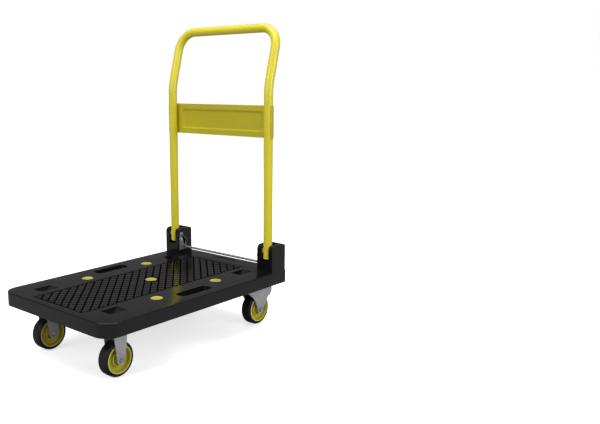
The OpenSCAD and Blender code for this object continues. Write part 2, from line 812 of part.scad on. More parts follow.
module swivel_plate(side) {
    color(STEEL) on_side(side) at_swivel() difference() {
        union() {
            translate([0, 0, base_z]) linear_extrude(base_t)
                round_rect(swivel_plate_size[0], swivel_plate_size[1], 8);
            translate([0, 0, crown_z + fork_t + 1.2]) cylinder(h = race_h, r = race_r);
        }
        // room for the balls, and for the fork's hub inside them
        translate([0, 0, crown_z]) cylinder(h = ball_z - crown_z + ball_r - 0.05, r = ball_ring_r + ball_r + 0.4);
        translate([0, 0, crown_z]) cylinder(h = base_z - crown_z - 0.5, r = ball_ring_r - ball_r + 0.6);
        translate([0, 0, base_z - 1]) cylinder(h = base_t + 2, r = kingpin_r + fit_gap);
        at_corners(swivel_holes) translate([0, 0, base_z - 1]) cylinder(h = base_t + 2, r = caster_bolt_r + 0.2);
    }
}

module kingpin(side) {
    color(STEEL) on_side(side) at_swivel() {
        translate([0, 0, crown_z - 4.3]) cylinder(h = 4, r = 10);
        translate([0, 0, crown_z - 2]) cylinder(h = pad_z - crown_z + 2, r = kingpin_r);
    }
}

module swivel_balls(side) {
    color(STEEL) on_side(side) at_swivel() for (i = [0 : ball_count - 1])
        rotate([0, 0, i * 360 / ball_count])
            translate([ball_ring_r, 0, ball_z]) sphere(ball_r, $fn = 24);
}

// Puts a wheel's pieces, drawn round the axis X = 0, Z = 0 along Y, at one of the four places
module at_wheel(front, side) {
    on_side(side) translate([front ? front_x : rear_x, wheel_y, wheel_r]) children();
}

// Turns an outline of radius and width about the axle
module turned() {
    rotate([90, 0, 0]) rotate_extrude($fn = 96) children();
}

module tyre(front, side) {
    shoulder = min(4.5, tyre_t / 2 - 0.2);
    half = tyre_w / 2;
    color(RUBBER) at_wheel(front, side) turned() difference() {
        union() {
            translate([rim_r, -half]) square([tyre_t - shoulder, tyre_w]);
            translate([rim_r, -half + shoulder]) square([tyre_t, tyre_w - 2 * shoulder]);
            for (s = [-1, 1]) translate([wheel_r - shoulder, s * (half - shoulder)]) circle(shoulder);
        }
        // the rim's middle rib locks the tyre on
        translate([rim_r - 1, -4]) square([3, 8]);
    }
}

module wheel(front, side) {
    rim_t = 4.5;
    half = tyre_w / 2 - 0.6;
    web = 4;
    boss_r = 21;
    color(YELLOW) at_wheel(front, side) difference() {
        turned() {
            translate([rim_r - rim_t, -half]) square([rim_t - 0.05, 2 * half]);
            translate([rim_r - 1, -3.9]) square([2.9, 7.8]);
            translate([bush_wall + axle_r + 0.08, -web]) square([rim_r - rim_t - bush_wall - axle_r + 1, 2 * web]);
            translate([bush_wall + axle_r + 0.08, -11]) square([boss_r - bush_wall - axle_r, 22]);
            translate([bush_wall + axle_r + 0.08, -hub_half + 0.6])
                square([hub_r - bush_wall - axle_r, 2 * hub_half - 1.2]);
        }
        // ring-shaped step round the hub
        for (s = [-1, 1]) translate([0, s * 11, 0]) rotate([90, 0, 0]) rotate_extrude()
            translate([hub_r + 2, -2.5]) square([4, 5]);
    }
}

module hub_bush(front, side) {
    color("#d9d6cc") at_wheel(front, side) difference() {
        bar_y(0, 0, -hub_half, hub_half, axle_r + bush_wall);
        bar_y(0, 0, -hub_half - 1, hub_half + 1, axle_r + run_gap);
    }
}

module axle_bolt(front, side) {
    color(STEEL) at_wheel(front, side) {
        bar_y(0, 0, -fork_out - 9, fork_out + 1, axle_r);
        translate([0, fork_out, 0]) rotate([-90, 0, 0]) hex(axle_head_r, bolt_head_h);
    }
}

module axle_nut(front, side) {
    color(STEEL) at_wheel(front, side) translate([0, -fork_out, 0]) rotate([90, 0, 0]) difference() {
        union() {
            cylinder(h = 1.5, r = axle_head_r + 1);
            translate([0, 0, 1]) hex(axle_head_r, 6.5);
        }
        translate([0, 0, -1]) cylinder(h = 10, r = axle_r + fit_gap);
    }
}

// ---------------------------------------------------------------- assembly

deck();
grip_panel();
translate([-cap_x, cap_y, 0]) cap();  // cap_front_left
translate([-cap_x, -cap_y, 0]) cap();  // cap_front_right
translate([cap_x, cap_y, 0]) cap();  // cap_rear_left
translate([cap_x, -cap_y, 0]) cap();  // cap_rear_right
cap();  // cap_centre
tower(LEFT);  // tower_left
tower(RIGHT);  // tower_right
tower_screws();
handle_tube();
cross_plate();
plate_rivets();
tube_plug(LEFT);  // tube_plug_left
tube_plug(RIGHT);  // tube_plug_right
pivot_bush(LEFT);  // pivot_bush_left
pivot_bush(RIGHT);  // pivot_bush_right
pivot_bolt(LEFT);  // pivot_bolt_left
pivot_bolt(RIGHT);  // pivot_bolt_right
pivot_nut(LEFT);  // pivot_nut_left
pivot_nut(RIGHT);  // pivot_nut_right
release_rod();
latch_plate(LEFT);  // latch_plate_left
latch_plate(RIGHT);  // latch_plate_right
latch_bolt(LEFT);  // latch_bolt_left
latch_bolt(RIGHT);  // latch_bolt_right
latch_spring(LEFT);  // latch_spring_left
latch_spring(RIGHT);  // latch_spring_right
caster_bolts();
front_fork(LEFT);  // front_fork_left
front_fork(RIGHT);  // front_fork_right
swivel_plate(LEFT);  // swivel_plate_left
swivel_plate(RIGHT);  // swivel_plate_right
kingpin(LEFT);  // kingpin_left
kingpin(RIGHT);  // kingpin_right
rear_fork(LEFT);  // rear_fork_left
rear_fork(RIGHT);  // rear_fork_right
swivel_balls(LEFT);  // swivel_balls_left
swivel_balls(RIGHT);  // swivel_balls_right
tyre(true, LEFT);  // tyre_front_left
tyre(true, RIGHT);  // tyre_front_right
tyre(false, LEFT);  // tyre_rear_left
tyre(false, RIGHT);  // tyre_rear_right
wheel(true, LEFT);  // wheel_front_left
wheel(true, RIGHT);  // wheel_front_right
wheel(false, LEFT);  // wheel_rear_left
wheel(false, RIGHT);  // wheel_rear_right
hub_bush(true, LEFT);  // hub_bush_front_left
hub_bush(true, RIGHT);  // hub_bush_front_right
hub_bush(false, LEFT);  // hub_bush_rear_left
hub_bush(false, RIGHT);  // hub_bush_rear_right
axle_bolt(true, LEFT);  // axle_bolt_front_left
axle_bolt(true, RIGHT);  // axle_bolt_front_right
axle_bolt(false, LEFT);  // axle_bolt_rear_left
axle_bolt(false, RIGHT);  // axle_bolt_rear_right
axle_nut(true, LEFT);  // axle_nut_front_left
axle_nut(true, RIGHT);  // axle_nut_front_right
axle_nut(false, LEFT);  // axle_nut_rear_left
axle_nut(false, RIGHT);  // axle_nut_rear_right
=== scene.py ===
import json
import math

import bmesh
import bpy
from mathutils import Matrix, Vector


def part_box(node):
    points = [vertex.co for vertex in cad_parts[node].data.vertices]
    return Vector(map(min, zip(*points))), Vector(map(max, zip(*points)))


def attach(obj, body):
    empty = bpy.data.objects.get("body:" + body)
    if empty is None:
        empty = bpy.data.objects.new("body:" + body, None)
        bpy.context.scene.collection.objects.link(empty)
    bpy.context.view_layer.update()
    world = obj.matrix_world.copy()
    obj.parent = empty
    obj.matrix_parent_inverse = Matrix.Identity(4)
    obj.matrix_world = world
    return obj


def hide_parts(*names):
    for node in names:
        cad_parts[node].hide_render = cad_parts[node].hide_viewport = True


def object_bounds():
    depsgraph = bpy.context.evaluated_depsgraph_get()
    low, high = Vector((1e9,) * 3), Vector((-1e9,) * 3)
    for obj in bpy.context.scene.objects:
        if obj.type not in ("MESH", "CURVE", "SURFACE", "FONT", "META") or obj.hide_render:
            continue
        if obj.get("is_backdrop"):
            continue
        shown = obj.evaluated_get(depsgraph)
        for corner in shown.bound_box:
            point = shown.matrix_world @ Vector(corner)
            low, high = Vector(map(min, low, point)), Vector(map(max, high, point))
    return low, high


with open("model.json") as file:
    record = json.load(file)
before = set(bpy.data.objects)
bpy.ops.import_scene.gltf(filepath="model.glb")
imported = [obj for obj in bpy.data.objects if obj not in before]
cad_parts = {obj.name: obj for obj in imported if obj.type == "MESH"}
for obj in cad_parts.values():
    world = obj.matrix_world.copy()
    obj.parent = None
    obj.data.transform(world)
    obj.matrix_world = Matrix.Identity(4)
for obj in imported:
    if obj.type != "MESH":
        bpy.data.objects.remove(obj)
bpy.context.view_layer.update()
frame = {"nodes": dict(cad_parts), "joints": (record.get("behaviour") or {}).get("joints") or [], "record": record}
NODES = frame["nodes"]
MM = 0.001
SIDES = ("left", "right")
WHEELS = ("front_left", "front_right", "rear_left", "rear_right")


def middle(node):
    lo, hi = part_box(node)
    return (lo + hi) / 2


# ------------------------------------------------------------ camera, light, floor

scene = bpy.context.scene
cam_data = bpy.data.cameras.new("camera")
cam = bpy.data.objects.new("camera", cam_data)
scene.collection.objects.link(cam)
scene.camera = cam
cam_data.sensor_width = 36.0
cam_data.lens = 43.96
cam_data.shift_x = 0.141
cam_data.clip_start = 0.05
cam_data.clip_end = 50
look = Vector((0.7203, 0.6701, -0.1791)).normalized()
turn = look.to_track_quat("-Z", "Y").to_matrix().to_4x4()
roll = Matrix.Rotation(math.radians(-0.45), 4, "Z")
cam.matrix_world = Matrix.Translation((-1.4550, -1.6251, 0.7867)) @ turn @ roll

# the world is white to the camera, dimmer as light, and dimmer still in reflections
SKY_LIGHT, SKY_SEEN, SKY_DULL = 0.42, 1.0, 0.26
world = bpy.data.worlds.new("studio")
scene.world = world
world.use_nodes = True
wt = world.node_tree
sky = wt.nodes["Background"]
sky.inputs[0].default_value = (1.0, 1.0, 1.0, 1)
rays = wt.nodes.new("ShaderNodeLightPath")
seen = wt.nodes.new("ShaderNodeMapRange")
seen.inputs["To Min"].default_value = SKY_LIGHT
seen.inputs["To Max"].default_value = SKY_SEEN
wt.links.new(rays.outputs["Is Camera Ray"], seen.inputs["Value"])
dull = wt.nodes.new("ShaderNodeMath")
dull.operation = "MULTIPLY_ADD"
dull.inputs[1].default_value = -SKY_DULL
wt.links.new(rays.outputs["Is Glossy Ray"], dull.inputs[0])
wt.links.new(seen.outputs["Result"], dull.inputs[2])
wt.links.new(dull.outputs[0], sky.inputs[1])
scene.view_settings.view_transform = "Standard"


def area(name, at, size, power, aim=(0.0, 0.0, 0.35), mirrored=True):
    """A soft box that the camera doesn't see; mirrored says if it shows in reflections."""
    d = bpy.data.lights.new(name, "AREA")
    d.shape = "RECTANGLE"
    d.size, d.size_y = size
    d.energy = power
    o = bpy.data.objects.new(name, d)
    o.location = at
    o.rotation_euler = (Vector(aim) - Vector(at)).to_track_quat("-Z", "Y").to_euler()
    o.visible_camera = False
    o.visible_glossy = mirrored
    scene.collection.objects.link(o)


area("top_box", (-0.3, -0.2, 2.8), (2.6, 2.6), 62)
area("left_box", (-2.6, 0.5, 1.7), (1.2, 1.6), 22)
area("right_box", (0.6, -3.0, 1.3), (1.8, 1.4), 34)
area("back_box", (2.8, 1.6, 2.4), (1.4, 1.4), 20, mirrored=False)


# ------------------------------------------------------------ materials

def new_mat(name):
    m = bpy.data.materials.new(name)
    m.use_nodes = True
    nt = m.node_tree
    return m, nt, nt.nodes["Principled BSDF"]


def noise(nt, scale, detail=4.0, stretch=None, rough=0.55):
    tc = nt.nodes.new("ShaderNodeTexCoord")
    n = nt.nodes.new("ShaderNodeTexNoise")
    n.inputs["Scale"].default_value = scale
    n.inputs["Detail"].default_value = detail
    n.inputs["Roughness"].default_value = rough
    if stretch:
        mp = nt.nodes.new("ShaderNodeMapping")
        mp.inputs["Scale"].default_value = stretch
        nt.links.new(tc.outputs["Object"], mp.inputs["Vector"])
        nt.links.new(mp.outputs["Vector"], n.inputs["Vector"])
    else:
        nt.links.new(tc.outputs["Object"], n.inputs["Vector"])
    return n.outputs["Fac"]


def ramp(nt, fac, stops):
    r = nt.nodes.new("ShaderNodeValToRGB")
    e = r.color_ramp.elements
    while len(e) < len(stops):
        e.new(0.5)
    for el, (pos, col) in zip(e, stops):
        el.position = pos
        el.color = (*col, 1) if len(col) == 3 else col
    nt.links.new(fac, r.inputs["Fac"])
    return r.outputs["Color"]


def grey(v):
    return (v, v, v)


def mix(nt, a, b, fac, mode="MIX"):
    n = nt.nodes.new("ShaderNodeMix")
    n.data_type = "RGBA"
    n.blend_type = mode
    for sock, v in ((n.inputs[6], a), (n.inputs[7], b), (n.inputs[0], fac)):
        if isinstance(v, bpy.types.NodeSocket):
            nt.links.new(v, sock)
        elif isinstance(v, (int, float)):
            sock.default_value = v
        else:
            sock.default_value = (*v, 1)
    return n.outputs[2]


def bump(nt, bsdf, layers):
    """layers: (height socket, strength, distance in metres), coarse to fine."""
    last = None
    for height, strength, dist in layers:
        b = nt.nodes.new("ShaderNodeBump")
        b.inputs["Strength"].default_value = strength
        b.inputs["Distance"].default_value = dist
        nt.links.new(height, b.inputs["Height"])
        if last:
            nt.links.new(last, b.inputs["Normal"])
        last = b.outputs["Normal"]
    nt.links.new(last, bsdf.inputs["Normal"])


def plastic(name, dark, light, rough, grain=1500, grain_depth=0.00006, coat=0.0, haze=0.08, spec=0.5):
    """Moulded plastic: faint tone drift, fine speckle, hazy patches and a fine grain."""
    m, nt, b = new_mat(name)
    col = ramp(nt, noise(nt, 9, 5), [(0.35, dark), (0.68, light)])
    speck = ramp(nt, noise(nt, 700, 2), [(0.30, grey(0.90)), (0.70, grey(1.0))])
    col = mix(nt, col, speck, 1.0, "MULTIPLY")
    nt.links.new(col, b.inputs["Base Color"])
    r = ramp(nt, noise(nt, 14, 6, rough=0.65), [(0.35, grey(rough)), (0.70, grey(rough + haze))])
    nt.links.new(r, b.inputs["Roughness"])
    b.inputs["IOR"].default_value = 1.5
    b.inputs["Specular IOR Level"].default_value = spec
    b.inputs["Coat Weight"].default_value = coat
    b.inputs["Coat Roughness"].default_value = 0.18
    bump(nt, b, [(noise(nt, 45, 3), 0.10, 0.0004), (noise(nt, grain, 2), 0.35, grain_depth)])
    return m


def paint(name, dark, light, rough=0.30):
    """Powder coat: orange peel, a little colour drift and small scuffs."""
    m, nt, b = new_mat(name)
    col = ramp(nt, noise(nt, 6, 4), [(0.30, dark), (0.70, light)])
    scuff = ramp(nt, noise(nt, 130, 8, (1, 1, 0.25), 0.7), [(0.66, grey(0)), (0.74, grey(1))])
    worn = tuple(c * 0.72 for c in dark)
    col = mix(nt, col, worn, mix(nt, scuff, grey(0.15), 1.0, "MULTIPLY"))
    nt.links.new(col, b.inputs["Base Color"])
    r = ramp(nt, noise(nt, 30, 6), [(0.35, grey(rough)), (0.72, grey(rough + 0.12))])
    nt.links.new(r, b.inputs["Roughness"])
    b.inputs["Coat Weight"].default_value = 0.35
    b.inputs["Coat Roughness"].default_value = 0.12
    bump(nt, b, [(noise(nt, 420, 2), 0.10, 0.00008), (noise(nt, 1600, 1), 0.08, 0.00003)])
    return m


def zinc(name, dark, light, rough=0.30, stretch=(1, 1, 6), metal=0.8):
    """Zinc plating: crystalline blotches, fine drawing lines and dull spots."""
    m, nt, b = new_mat(name)
    v = nt.nodes.new("ShaderNodeTexVoronoi")
    v.inputs["Scale"].default_value = 130
    tc = nt.nodes.new("ShaderNodeTexCoord")
    nt.links.new(tc.outputs["Object"], v.inputs["Vector"])
    flakes = ramp(nt, v.outputs["Distance"], [(0.1, grey(0.9)), (0.7, grey(1.0))])
    col = mix(nt, ramp(nt, noise(nt, 22, 6), [(0.32, dark), (0.66, light)]), flakes, 1.0, "MULTIPLY")
    nt.links.new(col, b.inputs["Base Color"])
    b.inputs["Metallic"].default_value = metal
    r = ramp(nt, noise(nt, 60, 7, stretch), [(0.32, grey(rough)), (0.70, grey(rough + 0.18))])
    nt.links.new(r, b.inputs["Roughness"])
    bump(nt, b, [(noise(nt, 500, 3, stretch), 0.20, 0.00006)])
    return m


def rubber(name):
    """Black rubber with a little dust."""
    m, nt, b = new_mat(name)
    col = ramp(nt, noise(nt, 25, 6), [(0.35, grey(0.0045)), (0.70, grey(0.0085))])
    dust = ramp(nt, noise(nt, 80, 8), [(0.52, grey(0)), (0.78, grey(0.5))])
    nt.links.new(mix(nt, col, (0.016, 0.0155, 0.015), dust), b.inputs["Base Color"])
    r = ramp(nt, noise(nt, 40, 5), [(0.3, grey(0.36)), (0.7, grey(0.52))])
    nt.links.new(r, b.inputs["Roughness"])
    bump(nt, b, [(noise(nt, 900, 3), 0.3, 0.00008)])
    return m


MAT = {
    "black_plastic": plastic("black_plastic", grey(0.0050), (0.0085, 0.0085, 0.0092), 0.15,
                             haze=0.05, spec=0.42),
    "tread_plastic": plastic("tread_plastic", grey(0.0050), (0.0090, 0.0090, 0.0096), 0.17,
                             1100, 0.0001, spec=0.42),
    "yellow_plastic": plastic("yellow_plastic", (0.52, 0.45, 0.010), (0.62, 0.54, 0.014), 0.28, coat=0.2),
    "yellow_paint": paint("yellow_paint", (0.70, 0.60, 0.020), (0.78, 0.68, 0.030)),
    "zinc_steel": zinc("zinc_steel", (0.50, 0.505, 0.52), (0.62, 0.625, 0.64), 0.34, metal=0.55),
    "tyre": rubber("tyre"),
    "nylon": plastic("nylon", (0.62, 0.60, 0.55), (0.72, 0.70, 0.65), 0.4),
}
CAP_MAT = plastic("cap_plastic", (0.50, 0.475, 0.045), (0.58, 0.555, 0.065), 0.16, coat=0.8)
# painted highlight: a much lighter yellow for thin rings on the wheel cores, standing in for light caught by the
# rim and hub
HIGHLIGHT_RING_MAT = plastic("rim_plastic", (0.90, 0.86, 0.24), (0.95, 0.91, 0.30), 0.20, coat=0.5)
# painted shade: a darker copy of the yellow paint for the cross plate, standing in for the shade on its front
SHADED_PLATE_MAT = paint("plate_paint", (0.50, 0.425, 0.010), (0.57, 0.485, 0.015))
# painted shade: a much darker zinc for the latch plates, standing in for the shade they sit in
SHADED_LATCH_MAT = zinc("latch_zinc", (0.17, 0.172, 0.18), (0.34, 0.345, 0.36), 0.28)
BOLT_MAT = zinc("bolt_steel", (0.44, 0.45, 0.47), (0.64, 0.65, 0.67), 0.24, (1, 6, 1))
# painted shade: near-black plastic that reflects nothing, for the groove floors and tile feet, standing in for
# shade in the grooves
GROOVE_SHADE_MAT = plastic("groove_plastic", grey(0.0012), grey(0.0020), 0.6, 1500, 0.0001, spec=0.0)
SLOT_OF = {s["node"]: s["material_slot"] for s in frame["record"]["subparts"]}
BODY_OF = {n: b for b, ns in frame["record"]["behaviour"]["bodies"].items() for n in ns}


# ------------------------------------------------------------ mesh tools

def dress(o, mats):
    """Gives a piece its material, or several that its faces already point to by number."""
    if o.data.materials:
        o.data.materials.clear()
    for m in mats if isinstance(mats, tuple) else (mats,):
        o.data.materials.append(m)


def add(name, mesh, node, mat=None, body=None, hide=()):
    """Links a new piece that stands for one or more CAD nodes."""
    o = bpy.data.objects.new(name, mesh)
    scene.collection.objects.link(o)
    dress(o, mat or MAT[SLOT_OF[node]])
    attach(o, body or BODY_OF[node])
    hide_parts(node, *hide)
    return o


def smooth(mesh, angle=35):
    mesh.shade_smooth()
    mesh.set_sharp_from_angle(angle=math.radians(angle))


def clean_copy(node):
    """The CAD node's mesh with its seams welded and its flat faces made whole."""
    me = NODES[node].data.copy()
    me.name = node + "_fine"
    bm = bmesh.new()
    bm.from_mesh(me)
    bmesh.ops.remove_doubles(bm, verts=bm.verts, dist=1e-6)
    bmesh.ops.dissolve_limit(bm, angle_limit=math.radians(0.6), verts=bm.verts, edges=bm.edges,
                             use_dissolve_boundaries=False, delimit=set())
    bmesh.ops.dissolve_degenerate(bm, dist=1e-6, edges=bm.edges)
    bmesh.ops.recalc_face_normals(bm, faces=bm.faces)
    bm.to_mesh(me)
    bm.free()
    if "custom_normal" in me.attributes:
        me.attributes.remove(me.attributes["custom_normal"])
    return me


def refine(node, bevel, segs=2, mat=None, angle=28, cut=None):
    """A finer version of a CAD node: soft edges, and a cutter taken off it where one is given."""
    o = add(node + "_fine", clean_copy(node), node, mat)
    if cut is not None:
        md = o.modifiers.new("round_over", "BOOLEAN")
        md.object = cut
        md.operation = "DIFFERENCE"
        md.solver = "EXACT"
        dg = bpy.context.evaluated_depsgraph_get()
        me = bpy.data.meshes.new_from_object(o.evaluated_get(dg))
        o.modifiers.clear()
        o.data = me
        dress(o, mat or MAT[SLOT_OF[node]])
    smooth(o.data, 32)
    b = o.modifiers.new("soft_edges", "BEVEL")
    b.width = bevel * MM
    b.segments = segs
    b.limit_method = "ANGLE"
    b.angle_limit = math.radians(angle)
    b.use_clamp_overlap = True
    b.harden_normals = True
    b.miter_outer = "MITER_ARC"
    return o


def lathe(name, profile, segs=96):
    """Turns a closed (radius, width) outline in millimetres about Y."""
    bm = bmesh.new()
    rings = []
    for i in range(segs):
        t = 2 * math.pi * i / segs
        rings.append([bm.verts.new((r * MM * math.cos(t), w * MM, r * MM * math.sin(t))) for r, w in profile])
    n = len(profile)
    for i in range(segs):
        a, b = rings[i], rings[(i + 1) % segs]
        for k in range(n):
            bm.faces.new((a[k], a[(k + 1) % n], b[(k + 1) % n], b[k]))
    bmesh.ops.recalc_face_normals(bm, faces=bm.faces)
    me = bpy.data.meshes.new(name)
    bm.to_mesh(me)
    bm.free()
    return me


def arc(cr, cw, r, a0, a1, n=6):
    """Points of an arc in a (radius, width) outline; angles in degrees."""
    return [(cr + r * math.cos(math.radians(a0 + (a1 - a0) * i / n)),
             cw + r * math.sin(math.radians(a0 + (a1 - a0) * i / n))) for i in range(n + 1)]


def sweep(name, path, radius, sides=40):
    """A round bar along points, with flat ends; the frame is carried along so that it never twists."""
    pts = [Vector(p) for p in path]
    bm = bmesh.new()
    rings = []
    ref = None
    for i, p in enumerate(pts):
        t = (pts[min(i + 1, len(pts) - 1)] - pts[max(i - 1, 0)]).normalized()
        if ref is None:
            ref = t.orthogonal().normalized()
        u = (ref - t * ref.dot(t)).normalized()
        ref = u
        v = t.cross(u)
        angles = [2 * math.pi * k / sides for k in range(sides)]
        rings.append([bm.verts.new(p + radius * (math.cos(a) * u + math.sin(a) * v)) for a in angles])
    for a, b in zip(rings, rings[1:]):
        for k in range(sides):
            bm.faces.new((a[k], a[(k + 1) % sides], b[(k + 1) % sides], b[k]))
    bm.faces.new(rings[0][::-1])
    bm.faces.new(rings[-1])
    bmesh.ops.recalc_face_normals(bm, faces=bm.faces)
    me = bpy.data.meshes.new(name)
    bm.to_mesh(me)
    bm.free()
    smooth(me, 40)
    return me


# ------------------------------------------------------------ deck

deck_lo, deck_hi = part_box("deck")
tower_lo, tower_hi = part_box("tower_left")
HL, HW, TOP = deck_hi.x / MM, deck_hi.y / MM, deck_hi.z / MM
FRONT_R, REAR_R = 46.0, 14.0                     # radii of the deck's corners


def outline():
    """Points on the deck's outline with their outward directions, anticlockwise from the rear left corner."""
    pts = []

    def corner(cx, cy, r, a0, n):
        for i in range(n + 1):
            a = math.radians(a0 + 90 * i / n)
            pts.append((cx + r * math.cos(a), cy + r * math.sin(a), math.cos(a), math.sin(a)))

    corner(HL - REAR_R, HW - REAR_R, REAR_R, 0, 10)
    corner(-HL + FRONT_R, HW - FRONT_R, FRONT_R, 90, 22)
    corner(-HL + FRONT_R, -HW + FRONT_R, FRONT_R, 180, 22)
    corner(HL - REAR_R, -HW + REAR_R, REAR_R, 270, 10)
    return pts


def edge_cutter(name, path, r=2.6):
    """What a router bit of radius r takes off along a path at the deck's top edge."""
    prof = [(-5, TOP - r), (0.03, TOP - r)]
    angles = [math.radians(a) for a in range(10, 90, 10)]
    prof += [(r - r * math.cos(a), TOP - r + r * math.sin(a)) for a in angles]
    prof += [(r + 0.02, TOP + 0.02), (r, TOP + 4), (-5, TOP + 4)]
    bm = bmesh.new()
    rings = [[bm.verts.new(((x - nx * i) * MM, (y - ny * i) * MM, z * MM)) for i, z in prof]
             for x, y, nx, ny in path]
    n = len(prof)
    for a, b in zip(rings, rings[1:]):
        for k in range(n):
            bm.faces.new((a[k], a[(k + 1) % n], b[(k + 1) % n], b[k]))
    bm.faces.new(rings[0])
    bm.faces.new(rings[-1][::-1])
    bmesh.ops.recalc_face_normals(bm, faces=bm.faces)
    me = bpy.data.meshes.new(name)
    bm.to_mesh(me)
    bm.free()
    return me


ring = outline()
t0, t1 = tower_lo.x / MM, tower_hi.x / MM
front_path = [(t0 - 1, HW, 0, 1)] + [p for p in ring if p[0] < 0] + [(t0 - 1, -HW, 0, -1)]
rear_path = [p for p in ring if p[0] > t1 + 1.5]
rear_path = [p for p in rear_path if p[1] < 0] + [p for p in rear_path if p[1] > 0]
cutter = bpy.data.objects.new("cutter", edge_cutter("cutter", front_path))
second = bpy.data.objects.new("cutter_rear", edge_cutter("cutter_rear", rear_path))
for c in (cutter, second):
    scene.collection.objects.link(c)
deck = refine("deck", 0.7, 2, cut=cutter, angle=30)
# the rear edge is cut in a second pass, while the soft edges are switched off
md = deck.modifiers.new("round_over", "BOOLEAN")
md.object, md.operation, md.solver = second, "DIFFERENCE", "EXACT"
deck.modifiers.move(1, 0)
deck.modifiers["soft_edges"].show_viewport = deck.modifiers["soft_edges"].show_render = False
dg = bpy.context.evaluated_depsgraph_get()
me = bpy.data.meshes.new_from_object(deck.evaluated_get(dg))
deck.modifiers.remove(deck.modifiers["round_over"])
deck.data = me
smooth(deck.data, 30)
deck.modifiers["soft_edges"].show_viewport = deck.modifiers["soft_edges"].show_render = True
for c in (cutter, second):
    bpy.data.objects.remove(c)


# the tread: a bed in the near-black groove material of painted shade, with bevelled diamond tiles standing on it
pan_lo, pan_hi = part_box("grip_panel")
X0, X1, YH = pan_lo.x / MM, pan_hi.x / MM, pan_hi.y / MM
PT, PB = pan_hi.z / MM, pan_lo.z / MM
PITCH, GW, GD, BORDER = 21.5, 4.5, 1.6, 5.0      # grooves: spacing, width and depth; plain border
FOOT = PT - GD - 0.1                             # tiles start just under the bed's face
CAP_HOLE = 18.35                                 # hole in the tread for the centre cap
KEEP_OUT = 20.2                                  # tiles near the cap are cut back to this


def clip(poly, nx, ny, d):
    """Keeps the part of a convex polygon where nx*x + ny*y <= d."""
    out = []
    for i, p in enumerate(poly):
        q = poly[(i + 1) % len(poly)]
        a, c = nx * p[0] + ny * p[1] - d, nx * q[0] + ny * q[1] - d
        if a <= 0:
            out.append(p)
        if (a < 0 < c) or (c < 0 < a):
            t = a / (a - c)
            out.append((p[0] + (q[0] - p[0]) * t, p[1] + (q[1] - p[1]) * t))
    return out


def shrink(poly, by):
    """A convex anticlockwise polygon with every side moved in."""
    out = list(poly)
    for i, p in enumerate(poly):
        q = poly[(i + 1) % len(poly)]
        length = math.hypot(q[0] - p[0], q[1] - p[1])
        if length < 1e-6:
            continue
        nx, ny = (q[1] - p[1]) / length, -(q[0] - p[0]) / length
        out = clip(out, nx, ny, nx * p[0] + ny * p[1] - by)
        if len(out) < 3:
            return []
    return out


def tile(bm, poly, z0, z1, soft=0.7):
    """A raised tile with two rings of softened edge."""
    levels = [(0.0, z0), (0.0, z1 - soft), (soft * 0.3, z1 - soft * 0.3), (soft, z1)]
    rings = []
    for inset, z in levels:
        ring_pts = shrink(poly, inset) if inset else list(poly)
        if len(ring_pts) != len(poly):
            return
        rings.append([bm.verts.new((x * MM, y * MM, z * MM)) for x, y in ring_pts])
    n = len(poly)
    for a, c in zip(rings, rings[1:]):
        for k in range(n):
            f = bm.faces.new((a[k], a[(k + 1) % n], c[(k + 1) % n], c[k]))
            # the foot of each wall takes the near-black groove material of painted shade
            f.material_index = 1 if a is rings[0] else 0
    bm.faces.new(rings[-1])
    bm.faces.new(rings[0][::-1])


bm = bmesh.new()
step = PITCH * math.sqrt(2)
reach = (PITCH - GW) / math.sqrt(2)
fx0, fx1, fy = X0 + BORDER + GW, X1 - BORDER - GW, YH - BORDER - GW
cx0 = (X0 + X1) / 2
n = int((fx1 - fx0 + 2 * fy) / step) + 2
for i in range(-n, n + 1):
    for j in range(-n, n + 1):
        # the grooves run at 45 degrees to the sides, and the tiles sit between them
        u, v = (i + 0.5) * step, (j + 1.0) * step
        tx, ty = cx0 + (u + v) / 2, (v - u) / 2
        poly = [(tx - reach, ty), (tx, ty - reach), (tx + reach, ty), (tx, ty + reach)]
        for nx, ny, d in ((1, 0, fx1), (-1, 0, -fx0), (0, 1, fy), (0, -1, fy)):
            poly = clip(poly, nx, ny, d)
        if len(poly) < 3:
            continue
        far = max(math.hypot(x, y) for x, y in poly)
        near = min(math.hypot(x, y) for x, y in poly)
        if far < KEEP_OUT + 1.4:
            continue
        if near < KEEP_OUT + 0.4 or math.hypot(tx, ty) < KEEP_OUT + 0.4:
            a = math.atan2(ty, tx)
            for k in (-0.5, 0, 0.5):
                poly = clip(poly, -math.cos(a + k), -math.sin(a + k), -KEEP_OUT)
        clean = [p for k, p in enumerate(poly) if math.dist(p, poly[k - 1]) > 0.25]
        if len(clean) >= 3:
            tile(bm, clean, FOOT, PT)
# border bars, mitred at their ends
for poly in ([(X0, -YH), (X1, -YH), (X1 - BORDER, -YH + BORDER), (X0 + BORDER, -YH + BORDER)],
             [(X1, -YH), (X1, YH), (X1 - BORDER, YH - BORDER), (X1 - BORDER, -YH + BORDER)],
             [(X1, YH), (X0, YH), (X0 + BORDER, YH - BORDER), (X1 - BORDER, YH - BORDER)],
             [(X0, YH), (X0, -YH), (X0 + BORDER, -YH + BORDER), (X0 + BORDER, YH - BORDER)]):
    tile(bm, poly, FOOT, PT, 0.5)
# collar round the centre cap
N = 48
TURN = [(math.cos(2 * math.pi * i / N), math.sin(2 * math.pi * i / N)) for i in range(N)]
c0, c1 = CAP_HOLE, CAP_HOLE + 1.55
prof = [(c0, FOOT), (c0, PT - 0.4), (c0 + 0.4, PT), (c1 - 0.4, PT), (c1, PT - 0.4), (c1, FOOT)]
rings = [[bm.verts.new((r * MM * c, r * MM * s, z * MM)) for r, z in prof] for c, s in TURN]
for i in range(N):
    a, c = rings[i], rings[(i + 1) % N]
    for k in range(len(prof)):
        k1 = (k + 1) % len(prof)
        bm.faces.new((a[k], c[k], c[k1], a[k1]))
